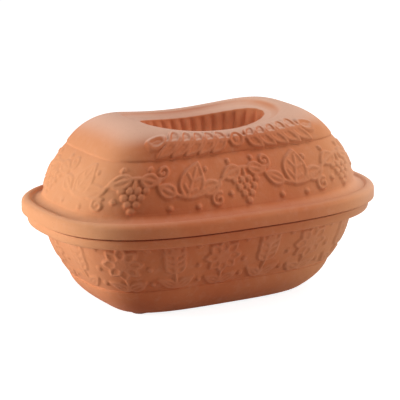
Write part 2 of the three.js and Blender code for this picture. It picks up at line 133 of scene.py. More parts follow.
class DishSizes(bpy.types.PropertyGroup):
    """Sizes of the dish."""

    height: length("Height", "From the feet to the rim", DISH_HIGH[2] - DISH_LOW[2])
    squareness: rounding("Squareness", "Power of the skirt's outline", 3.5)
    foot_height: length("Foot Height", "Height of the low pads", 0.002)
    foot_length: length("Foot Length", "Length of a pad", 0.030)
    foot_width: length("Foot Width", "Width of a pad", 0.013)
    foot_inset_x: length("Foot Inset X", "From the end of the underside to a pad's middle", 0.022)
    foot_inset_y: length("Foot Inset Y", "From the side of the underside to a pad's middle", 0.016)
    bottom_length: length("Bottom Length", "Length of the underside", 0.190)
    bottom_width: length("Bottom Width", "Width of the underside", 0.090)
    heel_out: length("Heel Out", "How far the heel stands out from the underside", 0.007)
    heel_rise: length("Heel Rise", "Height of the heel over the underside", 0.002)
    skirt_height: length("Skirt Height", "Where the plain skirt ends", 0.0299)
    skirt_length: length("Skirt Length", "Length at the top of the skirt", 0.255)
    skirt_width: length("Skirt Width", "Width at the top of the skirt", 0.138)
    skirt_bulge: length("Skirt Bulge", "Swelling of the skirt", 0.0035)
    wall_bulge: length("Wall Bulge", "Swelling of the ornamented wall", 0.0035)
    rim_setback: length("Rim Setback", "From the flange's edge to the rim", 0.005)
    rim_height: length("Rim Height", "Height of the rim", 0.0083)
    rim_round: length("Rim Round", "Rounding under the rim", 0.003)
    rim_edge: length("Rim Edge", "Width of the step along the upper edge of the rim", 0.0045)
    rim_wear: length("Rim Wear", "Depth of that step, which shows as a dark seam", 0.0021)
    rim_overhang: length("Rim Overhang", "How far the rim stands out from the wall", 0.016)
    rim_land: length("Rim Land", "Width of the flat that carries the lid", 0.012)
    rebate: length("Rebate", "Depth of the step that keeps the lid in place", 0.005)


class LidSizes(bpy.types.PropertyGroup):
    """Sizes of the lid."""

    top: length("Top", "Height of the crest over the floor", LID_HIGH[2])
    tongue: length("Tongue", "Height of the tongue's lower edge", LID_LOW[2])
    tongue_clearance: length("Tongue Clearance", "Room round the tongue", 0.0015)
    flange_height: length("Flange Height", "Thickness of the flange", 0.0135)
    flange_round: length("Flange Round", "Rounding of the flange's upper edge", 0.0055)
    flange_edge: length("Flange Edge", "Rounding of the flange's lower edge", 0.0010)
    lip: length("Lip", "Width of the flat on the flange", 0.0015)
    groove_depth: length("Groove Depth", "Depth of the crease behind the flange", 0.0022)
    groove_setback: length("Groove Setback", "From the flange's edge to the crease", 0.0092)
    cove_setback: length("Cove Setback", "From the flange's edge to the cove", 0.0154)
    cove_rise: length("Cove Rise", "Height of the cove over the crease", 0.0024)
    wall_setback: length("Wall Setback", "From the flange's edge to the wall's foot", 0.0185)
    wall_foot: length("Wall Foot", "Height of the wall's foot", 0.1087)
    wall_bulge: length("Wall Bulge", "Swelling of the ornamented wall", 0.0023)
    crown_step: length("Crown Step", "Faint step from the ornamented wall to the crown", 0.00035)
    crown_height: length("Crown Height", "Height of the crown's lower edge", 0.1561)
    crown_length: length("Crown Length", "Length of the crown's lower edge", 0.248)
    crown_width: length("Crown Width", "Width of the crown's lower edge", 0.139)
    crown_squareness: rounding("Crown Squareness", "Power of the crown's outline", 4.6)
    crest_dip: length("Crest Dip", "How much lower the crest is at the long sides", 0.0096)
    crest_length: length("Crest Length", "Length of the crest", 0.161)
    crest_width: length("Crest Width", "Width of the crest", 0.106)
    crest_squareness: rounding("Crest Squareness", "Power of the crest's outline", 3.2)
    shoulder_x: length("Shoulder X", "From the crown's edge to the shoulder at the ends", 0.0189)
    shoulder_y: length("Shoulder Y", "From the crown's edge to the shoulder at the sides", 0.0015)


class HollowSizes(bpy.types.PropertyGroup):
    """Sizes of the grip hollow in the lid."""

    length: length("Mouth Length", "Length of the hollow's mouth", 0.127)
    width: length("Mouth Width", "Width of the hollow's mouth", 0.0676)
    squareness: rounding("Mouth Squareness", "Power of the mouth's outline", 2.35)
    floor_squareness: rounding("Floor Squareness", "Power of the floor's outline", 2.0)
    drop: length("Mouth Drop", "From the crest to the mouth at the ends", 0.0072)
    side_drop: length("Side Drop", "From the crest to the mouth at the long sides", 0.0048)
    depth: length("Depth", "From the crest to the hollow's floor", 0.044)
    floor_length: length("Floor Length", "Length of the hollow's floor", 0.090)
    floor_width: length("Floor Width", "Width of the hollow's floor", 0.034)
    heel_out: length("Heel Out", "How far the wall's foot stands out from the floor", 0.0063)
    heel_rise: length("Heel Rise", "Height of the wall's foot over the floor", 0.0054)
    bulge: length("Bulge", "Swelling of the ribbed wall", 0.002)
    shelf: real("Shelf", "Where the shelf along the mouth's sides ends, from mouth to crest", 0.55,
                subtype="FACTOR")
    shelf_end: real("Shelf End", "The same at the mouth's ends, where it runs out", 0.18, subtype="FACTOR")
    shelf_slope: length("Shelf Slope", "Height of the shelf's outer edge over the mouth", 0.0008)
    ribs: number("Ribs", "Upright ribs round the wall", 28)
    rib_height: length("Rib Height", "How far a rib stands out", 0.0026)
    offset: length("Offset", "How far the hollow was pressed off the middle", 0.0035)


class OrnamentSizes(bpy.types.PropertyGroup):
    """Raised line ornament pressed into the clay."""

    line: length("Half Line", "Half the width of a raised line at its foot", 0.0024)
    height: length("Height", "How far a line stands out", 0.0019)
    pad: length("Pad", "How far the inside of a leaf stands out", 0.0009)
    ends: real("End Share", "How much of its height the ornament keeps on the ends", 0.5, subtype="FACTOR")
    garland: length("Garland", "Reach of each twig on the crown", 0.074)
    vines: number("Vine Waves", "Waves of the vine round the lid", 7)
    sheaves: number("Sheaves", "Ears and flowers round the dish", 8)


class ClayFinish(bpy.types.PropertyGroup):
    """Colours of the fired clay, and of the light painted on it."""

    body: colour("Body", "Main colour of the clay", "bf6a42")
    pale: colour("Pale", "Where the clay fired paler", "c5774f")
    deep: colour("Deep", "Where the clay fired deeper", "b6613b")
    # Ends: painted highlight, the paler colour of the ends where the lamps light them
    ends: colour("Ends", "Where the ends fired paler", "d6976b")
    # Hollow: painted bounce light, the lighter, redder colour of the ribbed wall in the grip hollow
    hollow: colour("Hollow", "Where the clay in the grip hollow fired redder", "d38158")
    # Used for paler rubbed blotches and worn lines, and as painted sheen on the upward tops and the right end
    dust_and_sheen: colour("Dust", "Dusty tops, worn lines and the palest end", "deb59f")
    grog: colour("Grog", "Dark grains in the clay", "8d4a2f")


class StudioSetting(bpy.types.PropertyGroup):
    """Camera and light."""

    azimuth: real("Azimuth", "Camera's turn round the object", math.radians(-30), subtype="ANGLE")
    elevation: real("Elevation", "Camera's height as an angle", math.radians(14.2), subtype="ANGLE")
    distance: length("Distance", "From the camera to its aim", 2.1)
    aim: length("Aim", "Height that the camera looks at", 0.0932)
    lens: real("Lens", "Focal length on a 36 mm sensor", 195.6, subtype="DISTANCE_CAMERA")
    key: real("Key", "Power of the lamp on the left", 20.0, subtype="POWER")
    top: real("Top", "Power of the lamp overhead", 12.4, subtype="POWER")
    fill: real("Fill", "Power of the lamp on the right", 6.0, subtype="POWER")
    room: real("Room", "Strength of the light from all round", 0.22, subtype="FACTOR")


# Levels: each is a rounded oblong, as [half length, half width, power, z at the ends, z at the long sides]


def level(long, wide, power, end_z, side_z=None):
    """One level of a wall."""
    return np.array([long / 2, wide / 2, power, end_z, end_z if side_z is None else side_z])


def drawn(shape, inset, rise=0.0):
    """A level drawn in all round and moved up."""
    return shape + np.array([-inset, -inset, 0.0, rise, rise])


def lifted(shape, end_z, side_z=None):
    """The same outline at another height."""
    return np.array([*shape[:3], end_z, end_z if side_z is None else side_z])


def shrunk(shape):
    """A level drawn in to a tenth of its size, next to the point that closes a wall."""
    return shape * np.array([0.1, 0.1, 1.0, 1.0, 1.0])


def between(low, high, part, bulge=0.0):
    """A level part of the way from one to another, swollen by a bulge."""
    swell = 4 * part * (1 - part) * bulge
    return low + (high - low) * part + np.array([swell, swell, 0.0, 0.0, 0.0])


def bend(first, corner, last, part):
    """A level on the bend that leaves one level towards a corner and arrives at another."""
    return between(between(first, corner, part), between(corner, last, part), part)


def outline(shape, count):
    """Evenly spaced points round a level."""
    a, b, power, end_z, side_z = shape
    angle = np.linspace(0, 2 * np.pi, ARC_STEPS + 1)
    c, s = np.cos(angle), np.sin(angle)
    reach = (np.abs(c / a) ** power + np.abs(s / b) ** power) ** (-1 / power)
    x, y = reach * c, reach * s
    travelled = np.concatenate([[0.0], np.cumsum(np.hypot(np.diff(x), np.diff(y)))])
    stops = np.arange(count) / count * travelled[-1]
    x, y = np.interp(stops, travelled, x), np.interp(stops, travelled, y)
    return np.column_stack([x, y, side_z + (end_z - side_z) * (x / a) ** 2]), travelled[-1]


class Wall:
    """Levels listed along a wall, with the clay on the left of the way."""

    def __init__(self, first):
        self.rows = [first]
        self.ribs = [0.0]
        self.marks = {}

    def run(self, last, count, bulge=0.0, ribs=(0.0, 0.0)):
        """Go straight, or swollen, to another level."""
        first = self.rows[-1]
        for i in range(1, count + 1):
            self.rows.append(between(first, last, i / count, bulge))
            self.ribs.append(ribs[0] + (ribs[1] - ribs[0]) * i / count)

    def curve(self, corner, last, count, ribs=(0.0, 0.0)):
        """Go round a bend to another level."""
        first = self.rows[-1]
        for i in range(1, count + 1):
            self.rows.append(bend(first, corner, last, i / count))
            self.ribs.append(ribs[0] + (ribs[1] - ribs[0]) * i / count)

    def mark(self, name, back=0):
        """Remember this row, or one further back, by name."""
        self.marks[name] = len(self.rows) - 1 - back


def skin(name, wall, shape_row):
    """A closed mesh over a wall, with all its points only between the marks fine_from and fine_to."""
    fine = range(wall.marks["fine_from"], wall.marks["fine_to"] + 1)
    counts = [POINTS_ROUND if i in fine else POINTS_ROUND // 2 for i in range(len(wall.rows))]
    points, turns, alongs, ribs, starts, rounds = [], [], [], [], [], []
    travelled = 0.0
    side_before = None
    for row, points_here in zip(wall.rows, counts):
        ring, around = outline(row, points_here)
        side = outline(row, 4)[0][1]
        if side_before is not None:
            travelled += float(np.linalg.norm(side - side_before))
        side_before = side
        starts.append(sum(len(p) for p in points))
        points.append(ring)
        turns.append(np.arange(points_here) / points_here)
        alongs.append(np.full(points_here, travelled))
        ribs.append(np.full(points_here, wall.ribs[len(rounds)]))
        rounds.append(around)
    faces = []
    for i in range(len(counts) - 1):
        low, high, n, m = starts[i], starts[i + 1], counts[i], counts[i + 1]
        for j in range(min(n, m)):
            if n == m:
                faces.append((low + j, low + (j + 1) % n, high + (j + 1) % m, high + j))
            elif n < m:
                faces.append((low + j, low + (j + 1) % n,
                              high + (2 * j + 2) % m, high + 2 * j + 1, high + 2 * j))
            else:
                faces.append((low + 2 * j, low + 2 * j + 1, low + (2 * j + 2) % n,
                              high + (j + 1) % m, high + j))
    first_pole = sum(counts)
    poles = [(0.0, 0.0, wall.rows[0][4]), (0.0, 0.0, wall.rows[-1][4])]
    last = starts[-1]
    faces += [(first_pole, (j + 1) % counts[0], j) for j in range(counts[0])]
    faces += [(first_pole + 1, last + j, last + (j + 1) % counts[-1]) for j in range(counts[-1])]
    places = shape_row(np.vstack(points + [poles]))
    mesh = bpy.data.meshes.new(name)
    mesh.from_pydata(places.tolist(), [], faces)
    mesh.validate()
    mesh.shade_smooth()
    for label, values in (("turn", turns), ("along", alongs), ("rib", ribs), ("raised", None)):
        data = np.zeros(len(places), dtype=np.float32)
        if values is not None:
            data[:first_pole] = np.concatenate(values)
        mesh.attributes.new(label, "FLOAT", "POINT").data.foreach_set("value", data)
    piece = bpy.data.objects.new(name, mesh)
    bpy.context.scene.collection.objects.link(piece)
    heights = [float(a[0]) for a in alongs]
    return piece, {mark: (heights[row], rounds[row]) for mark, row in wall.marks.items()}


# Nodes


def add(tree, kind, settings, inputs):
    """Add a node, set it up and link or fill its inputs; a node as an input means its first output."""
    node = tree.nodes.new(kind)
    for key, value in settings.items():
        setattr(node, key, value)
    for key, value in inputs.items():
        source = value.outputs[0] if isinstance(value, bpy.types.Node) else value
        if isinstance(source, bpy.types.NodeSocket):
            tree.links.new(source, node.inputs[key])
        else:
            node.inputs[key].default_value = source
    return node


def new_tree(name, inputs):
    """An empty Geometry Nodes tree with named inputs."""
    tree = bpy.data.node_groups.new(name, "GeometryNodeTree")
    tree.interface.new_socket("Geometry", in_out="INPUT", socket_type="NodeSocketGeometry")
    for label, kind in inputs:
        tree.interface.new_socket(label, in_out="INPUT", socket_type=kind)
    tree.interface.new_socket("Geometry", in_out="OUTPUT", socket_type="NodeSocketGeometry")
    return tree, add(tree, "NodeGroupInput", {}, {}).outputs


def close_tree(tree, geometry, height, clay):
    """End a tree: points raised along their normals, as real geometry in its material."""
    normal = add(tree, "GeometryNodeInputNormal", {}, {})
    offset = add(tree, "ShaderNodeVectorMath", {"operation": "SCALE"}, {"Vector": normal, "Scale": height})
    moved = add(tree, "GeometryNodeSetPosition", {}, {"Geometry": geometry, "Offset": offset})
    realized = add(tree, "GeometryNodeRealizeInstances", {}, {"Geometry": moved})
    dressed = add(tree, "GeometryNodeSetMaterial", {}, {"Geometry": realized, "Material": clay})
    add(tree, "NodeGroupOutput", {}, {"Geometry": dressed})


def rib_tree():
    """Upright rounded ribs round a wall, as deep as its points say."""
    tree, given = new_tree("upright_ribs", [("Count", "NodeSocketInt"), ("Clay", "NodeSocketMaterial")])
    turn, depth = (add(tree, "GeometryNodeInputNamedAttribute", {"data_type": "FLOAT"}, {"Name": name})
                   for name in ("turn", "rib"))
    height = turn
    for operation, other in (("MULTIPLY", given["Count"]), ("MULTIPLY", math.pi), ("COSINE", 0.0),
                             ("ABSOLUTE", 0.0), ("SUBTRACT", RIB_SUNK), ("MULTIPLY", depth)):
        height = add(tree, "ShaderNodeMath", {"operation": operation}, {0: height, 1: other})
    close_tree(tree, given["Geometry"], height, given["Clay"])
    return tree


def line_tree():
    """A row of one motif, laid on the unrolled wall and raised out of it as rounded lines."""
    sizes = ("Pitch", "First", "Level", "Round", "Half Line", "Height", "Pad", "End Share")
    tree, given = new_tree("raised_lines", [
        ("Motif", "NodeSocketObject"), ("Count", "NodeSocketInt"),
        *((label, "NodeSocketFloat") for label in sizes), ("Clay", "NodeSocketMaterial")])
    turn, along, before = (
        add(tree, "GeometryNodeInputNamedAttribute", {"data_type": "FLOAT"}, {"Name": name})
        for name in ("turn", "along", "raised"))

    # The row of motifs on the flat, and the place of each point there
    motif = add(tree, "GeometryNodeObjectInfo", {}, {"Object": given["Motif"]})
    start = add(tree, "ShaderNodeCombineXYZ", {}, {"X": given["First"], "Y": given["Level"]})
    step = add(tree, "ShaderNodeCombineXYZ", {}, {"X": given["Pitch"]})
    row = add(tree, "GeometryNodeMeshLine", {}, {
        "Count": given["Count"], "Start Location": start, "Offset": step})
    copies = add(tree, "GeometryNodeInstanceOnPoints", {}, {
        "Points": row, "Instance": motif.outputs["Geometry"]})
    lines = add(tree, "GeometryNodeRealizeInstances", {}, {"Geometry": copies})
    across = add(tree, "ShaderNodeMath", {"operation": "MULTIPLY"}, {0: turn, 1: given["Round"]})
    place = add(tree, "ShaderNodeCombineXYZ", {}, {"X": across, "Y": along})

    # Lines that are flat on top, and low pads inside some of them
    flat = add(tree, "ShaderNodeMath", {"operation": "MULTIPLY"}, {0: given["Half Line"], 1: FLAT_TOP})
    heights = []
    for element, top, rise in (("EDGES", flat, given["Height"]), ("FACES", 0.0, given["Pad"])):
        near = add(tree, "GeometryNodeProximity", {"target_element": element}, {
            "Geometry": lines, "Sample Position": place})
        heights.append(add(tree, "ShaderNodeMapRange", {"interpolation_type": "SMOOTHSTEP"}, {
            "Value": near.outputs["Distance"], "From Min": top, "From Max": given["Half Line"],
            "To Min": rise, "To Max": 0.0}))
    height = add(tree, "ShaderNodeMath", {"operation": "MAXIMUM"}, {0: heights[0], 1: heights[1]})

    # Lower on the ends, where the wall faces along X
    normal = add(tree, "GeometryNodeInputNormal", {}, {})
    level_way = add(tree, "ShaderNodeVectorMath", {"operation": "MULTIPLY"}, {0: normal, 1: (1.0, 1.0, 0.0)})
    outward = add(tree, "ShaderNodeVectorMath", {"operation": "NORMALIZE"}, {0: level_way})
    way = add(tree, "ShaderNodeSeparateXYZ", {}, {"Vector": outward})
    sideways = add(tree, "ShaderNodeMath", {"operation": "ABSOLUTE"}, {0: way.outputs["Y"]})
    kept_share = add(tree, "ShaderNodeMapRange", {"interpolation_type": "SMOOTHSTEP"}, {
        "Value": sideways, "From Min": 0.30, "From Max": 0.95, "To Min": given["End Share"]})
    height = add(tree, "ShaderNodeMath", {"operation": "MULTIPLY"}, {0: height, 1: kept_share})

    # The greatest height so far, noted for the colour of the clay
    higher = add(tree, "ShaderNodeMath", {"operation": "MAXIMUM"}, {0: before, 1: height})
    noted = add(tree, "GeometryNodeStoreNamedAttribute", {"data_type": "FLOAT", "domain": "POINT"}, {
        "Geometry": given["Geometry"], "Name": "raised", "Value": higher})
    close_tree(tree, noted, height, given["Clay"])
    return tree


def give(piece, tree, values):
    """Hang a tree on a piece with its inputs set."""
    modifier = piece.modifiers.new(tree.name, "NODES")
    modifier.node_group = tree
    for item in tree.interface.items_tree:
        if item.in_out == "INPUT" and item.name in values:
            modifier[item.identifier] = values[item.name]


def lay(piece, tree, motif, row, relief, clay):
    """Hang a row of a motif on a piece; the row is its count, pitch, first place, level and way round."""
    values = dict(zip(("Count", "Pitch", "First", "Level", "Round"), row))
    give(piece, tree, {**values, "Motif": motif, "Half Line": relief.line, "Height": relief.height,
                       "Pad": relief.pad, "End Share": relief.ends, "Clay": clay})


def bake(piece):
    """Turn a piece and its trees into a plain mesh."""
    graph = bpy.context.evaluated_depsgraph_get()
    mesh = bpy.data.meshes.new_from_object(
        piece.evaluated_get(graph), preserve_all_data_layers=True, depsgraph=graph)
    piece.modifiers.clear()
    rough = piece.data
    piece.data = mesh
    mesh.name = piece.name
    bpy.data.meshes.remove(rough)
    mesh.shade_smooth()


# Motifs, as lines on the flat, in metres


def turned(line, angle, place):
    """A line turned and put in its place."""
    c, s = math.cos(angle), math.sin(angle)
    return np.asarray(line) @ np.array([[c, s], [-s, c]]) + np.array(place)


class Motif:
    """Raised lines, and low pads under some of them, drawn on the flat in metres."""

    def __init__(self):
        self.lines = []
        self.pads = []

    def leaf(self, foot, degrees, long, wide, veins=-1):
        """A pointed leaf from its stalk; 0 veins leaves only the midrib and -1 not even that."""
        t = np.linspace(0, 1, 22)
        half = wide / 2 * np.sin(np.pi * t ** 0.8) ** 0.9
        over, under = np.column_stack([t * long, half]), np.column_stack([t * long, -half])
        inner = []
        if veins >= 0:
            inner.append([[0.0, 0.0], [long * 0.86, 0.0]])
        for i in range(veins):
            start = long * (0.16 + 0.62 * i / veins)
            reach = 0.62 * np.interp(start / long + 0.12, t, half)
            inner += [[[start, 0.0], [start + 0.8 * reach, side * reach]] for side in (-1, 1)]
        angle = math.radians(degrees)
        self.lines += [turned(line, angle, foot) for line in (over, under, *inner)]
        self.pads.append(turned(np.vstack([under, over[-2:0:-1]]), angle, foot))

    def berry(self, place, radius):
        """A round berry: three short crossed lines that fill it."""
        for angle in (0.0, math.pi / 3, 2 * math.pi / 3):
            reach = radius * np.array([math.cos(angle), math.sin(angle)])
            self.lines.append(np.array([place - reach, place + reach]))

    def ring(self, place, radius):
        """A circle with a pad in it."""
        angle = np.linspace(0, 2 * np.pi, 25)
        circle = np.array(place) + radius * np.column_stack([np.cos(angle), np.sin(angle)])
        self.lines.append(circle)
        self.pads.append(circle[:-1])

    def tendril(self, place, radius, degrees, turns):
        """A spiral that winds in from a start angle."""
        t = np.linspace(0, 1, 44)
        angle = math.radians(degrees) + turns * 2 * np.pi * t
        reach = radius * (1 - 0.78 * t)
        self.lines.append(np.array(place) + np.column_stack([reach * np.cos(angle), reach * np.sin(angle)]))

    def made(self, name):
        """The motif as an object that a tree can repeat: its lines are loose edges, its pads faces."""
        points, edges, faces = [], [], []
        for line in self.lines:
            edges += [(len(points) + i, len(points) + i + 1) for i in range(len(line) - 1)]
            points += [(float(x), float(y), 0.0) for x, y in line]
        for pad in self.pads:
            faces.append(tuple(range(len(points), len(points) + len(pad))))
            points += [(float(x), float(y), 0.0) for x, y in pad]
        mesh = bpy.data.meshes.new(name)
        mesh.from_pydata(points, edges, faces)
        piece = bpy.data.objects.new(name, mesh)
        bpy.context.scene.collection.objects.link(piece)
        return piece


def vine(pitch):
    """One wave of a running vine with a leaf in one bay and a bunch of grapes in the other."""
    wave = Motif()
    x = np.linspace(0, 1, 70)
    wave.lines.append(np.column_stack([x * pitch, 0.011 * np.sin(2 * np.pi * x)]))
    wave.leaf((0.70 * pitch, -0.011), 68, 0.034, 0.024, 2)
    for at, lift, degrees, long, wide in ((0.83, -0.006, 12, 0.021, 0.012), (0.60, -0.007, 152, 0.019, 0.011),
                                          (0.21, 0.010, 196, 0.020, 0.012), (0.30, 0.010, -12, 0.018, 0.011)):
        wave.leaf((at * pitch, lift), degrees, long, wide, 0)
    wave.lines.append(np.array([[0.25 * pitch, 0.011], [0.25 * pitch, 0.002]]))
    for row, berries in enumerate((4, 3, 2, 1)):
        for i in range(berries):
            across = (i - (berries - 1) / 2) * 0.0076
            wave.berry(np.array([0.25 * pitch + across, -0.0005 - 0.0066 * row]), 0.0018)
    wave.tendril((0.475 * pitch, 0.0155), 0.0070, -120, 1.25)
    wave.tendril((0.975 * pitch, -0.0160), 0.0070, 60, 1.25)
    for at, lift in ((0.36, 0.0195), (0.12, 0.0190), (0.885, 0.0140),
                     (0.56, -0.0195), (0.80, -0.0205), (0.10, -0.0120)):
        wave.berry(np.array([at * pitch, lift]), 0.0010)
    return wave.made("vine_wave")


def sheaf(pitch):
    """An ear of wheat and a daisy side by side, with leaves and dots."""
    pair = Motif()
    ear, bloom, foot = 0.25 * pitch, np.array([0.75 * pitch, 0.0065]), -0.025
    pair.lines.append(np.array([[ear, foot], [ear, 0.010]]))
    pair.lines.append(np.array([[bloom[0], -0.011], [bloom[0], foot]]))
    for side in (-1, 1):
        for i in range(4):
            pair.leaf((ear + side * 0.0010, -0.0050 + 0.0066 * i), 90 - side * 42, 0.0125, 0.0070)
        pair.leaf((ear, foot), 90 - side * 56, 0.0210, 0.0085, 0)
        pair.leaf((bloom[0], foot), 90 - side * 64, 0.0190, 0.0090, 0)
    pair.leaf((ear, 0.0140), 90, 0.0115, 0.0070)
    pair.ring(bloom, 0.0036)
    pair.berry(bloom, 0.0010)
    for i in range(8):
        degrees = 90 + 45 * i
        way = np.array([math.cos(math.radians(degrees)), math.sin(math.radians(degrees))])
        pair.leaf(bloom + 0.0056 * way, degrees, 0.0120, 0.0086)
    for at, lift in ((0.50, 0.0), (0.50, 0.0215), (1.0, 0.0), (1.0, 0.0215), (0.50, -0.0190), (1.0, -0.0190)):
        pair.berry(np.array([at * pitch, lift]), 0.0012)
    return pair.made("ear_and_daisy")


def garland(reach):
    """Two leafy twigs that meet at a round boss."""
    twigs = Motif()
    for back in (0, 180):
        side = -1 if back else 1
        twigs.lines.append(np.array([[side * 0.008, 0.0], [side * reach, 0.0]]))
        for i in range(5):
            foot = (side * (0.012 + (reach - 0.012) * i / 5), 0.0)
            for up in (-38, 38):
                twigs.leaf(foot, back + up, 0.0155, 0.0080)
        twigs.leaf((side * reach, 0.0), back, 0.0150, 0.0080)
    twigs.ring((0.0, 0.0), 0.0064)
    twigs.berry(np.zeros(2), 0.0018)
    return twigs.made("garland")


def drop(made):
    """Take a motif away once its piece is baked."""
    mesh = made.data
    bpy.data.objects.remove(made)
    bpy.data.meshes.remove(mesh)


# Material


def terracotta():
    """Unglazed terracotta, pressed in a mould and fired once.

    Dry and matt, warm orange-brown, unevenly fired, with fine grit and dark grains; its ends and upward tops
    are painted paler where light falls on them, and its hollow redder for the light that bounces in it.
    """
    found = bpy.data.materials.get("unglazed_terracotta")
    if found:
        return found
    scene = bpy.context.scene
    finish, relief, hollow = scene.roaster_clay, scene.roaster_ornament, scene.roaster_hollow
    clay = bpy.data.materials.new("unglazed_terracotta")
    clay.use_nodes = True
    tree = clay.node_tree
    shader = tree.nodes["Principled BSDF"]
    for label, value in (("IOR", 1.5), ("Specular IOR Level", 0.12), ("Sheen Weight", 0.06),
                         ("Sheen Roughness", 0.5), ("Sheen Tint", (*linear("f4dccf"), 1.0))):
        shader.inputs[label].default_value = value

    # Where a point is, which way it faces, and its ribs and raised lines
    place = add(tree, "ShaderNodeTexCoord", {}, {}).outputs["Object"]
    normal = add(tree, "ShaderNodeNewGeometry", {}, {}).outputs["Normal"]
    spot, facing = (add(tree, "ShaderNodeSeparateXYZ", {}, {"Vector": vector}).outputs
                    for vector in (place, normal))
    ribbed, raised = (add(tree, "ShaderNodeAttribute", {"attribute_name": name}, {}).outputs["Fac"]
                      for name in ("rib", "raised"))

    # Clouds 70 mm across, blotches 7 mm, waves 12 mm, and grit drawn 1.6 mm so that it shows
    cloud, blotch, wave, grit = (
        add(tree, "ShaderNodeTexNoise", {}, {
            "Vector": place, "Scale": 1 / size, "Detail": detail, "Roughness": roughness}).outputs["Fac"]
        for size, detail, roughness in (
            (0.070, 3.0, 0.55), (0.007, 4.0, 0.6), (0.012, 2.0, 0.5), (0.0016, 3.0, 0.65)))

    # Grog: dark grains of ground pot, really about 0.5 mm, drawn about 1 mm so that they show
    grains = add(tree, "ShaderNodeTexVoronoi", {"feature": "F1"}, {"Vector": place, "Scale": 1 / 0.0026})
    chosen = add(tree, "ShaderNodeSeparateColor", {}, {"Color": grains.outputs["Color"]})
    covers = {"few": add(tree, "ShaderNodeMath", {"operation": "LESS_THAN"}, {0: chosen, 1: 0.16})}

    # How far along X a point is, counted further left where the left end tapers up and down
    over_seam = add(tree, "ShaderNodeMath", {"operation": "SUBTRACT"}, {0: spot["Z"], 1: 0.075})
    off_seam = add(tree, "ShaderNodeMath", {"operation": "ABSOLUTE"}, {0: over_seam})
    lean = add(tree, "ShaderNodeMath", {"operation": "MULTIPLY_ADD"}, {0: off_seam, 1: -0.35, 2: spot["X"]})

    # Ramps: each turns a range of a value into a range of strength
    for name, kind, value, from_min, from_max, to_min, to_max in (
            # Firing: clouds of paler and deeper clay
            ("paler", "LINEAR", cloud, 0.50, 0.75, 0.0, 1.0),
            ("deeper", "LINEAR", cloud, 0.50, 0.25, 0.0, 1.0),
            # Painted light: both ends, where the lamps on the left and right fall on them, are painted paler,
            # and the last of the right one palest
            ("left", "SMOOTHSTEP", lean, -0.111, -0.169, 0.0, 0.92),
            ("right", "SMOOTHSTEP", spot["X"], 0.010, 0.150, 0.0, 0.85),
            # Painted sheen: the last of the right end, seen at a grazing angle, is painted palest
            ("right_end_sheen", "SMOOTHSTEP", spot["X"], 0.095, 0.170, 0.0, 0.50),
            # Painted sheen: a pale coat on what faces up, most of it on the top of the crown, where the light
            # from above makes the clay look pale
            ("upward", "SMOOTHSTEP", facing["Z"], 0.62, 0.98, 0.0, 1.0),
            ("high", "SMOOTHSTEP", spot["Z"], 0.157, 0.175, 0.12, 0.80),
            # Painted light: the ribbed wall of the hollow is painted a little lighter and redder, for the
            # light that bounces about in it
            ("inside", "LINEAR", ribbed, 0.0, hollow.rib_height, 0.0, 0.85),
            # Pressing: blotches of clay that are rubbed paler and a little smoother
            ("rubbed", "LINEAR", blotch, 0.50, 0.78, 0.0, 0.09),
            ("matt", "LINEAR", blotch, 0.0, 1.0, 0.90, 0.70),
            # Raised lines: their backs are worn paler
            ("worn", "LINEAR", raised, 0.3 * relief.height, relief.height, 0.0, 0.05),
            # Grog: each grain fades at its edge
            ("grain", "LINEAR", grains.outputs["Distance"], 0.12, 0.26, 0.16, 0.0)):
        covers[name] = add(tree, "ShaderNodeMapRange", {"interpolation_type": kind}, {
            "Value": value, "From Min": from_min, "From Max": from_max, "To Min": to_min, "To Max": to_max})
    for name, operation, first, second in (
            ("ends", "MAXIMUM", "left", "right"), ("painted_top_sheen", "MULTIPLY", "upward", "high"),
            ("speck", "MULTIPLY", "few", "grain")):
        covers[name] = add(tree, "ShaderNodeMath", {"operation": operation}, {
            0: covers[first], 1: covers[second]})

    # Colour: each of these lies over the one before
    seen = (*finish.body, 1.0)
    for name, tint in (("paler", finish.pale), ("deeper", finish.deep), ("ends", finish.ends),
                       ("right_end_sheen", finish.dust_and_sheen), ("painted_top_sheen", finish.dust_and_sheen), ("inside", finish.hollow),
                       ("rubbed", finish.dust_and_sheen), ("worn", finish.dust_and_sheen), ("speck", finish.grog)):
        seen = add(tree, "ShaderNodeMix", {"data_type": "RGBA"}, {
            0: covers[name], 6: seen, 7: (*tint, 1.0)}).outputs[2]

    # Shallow waves left by the mould, and grit over them
    swell = add(tree, "ShaderNodeBump", {}, {"Strength": 0.35, "Distance": 0.0012, "Height": wave})
    rough = add(tree, "ShaderNodeBump", {}, {
        "Strength": 0.45, "Distance": 0.0004, "Height": grit, "Normal": swell})

    for label, source in (("Base Color", seen), ("Roughness", covers["matt"].outputs[0]),
                          ("Normal", rough.outputs[0])):
        tree.links.new(source, shader.inputs[label])
    return clay


# Pieces


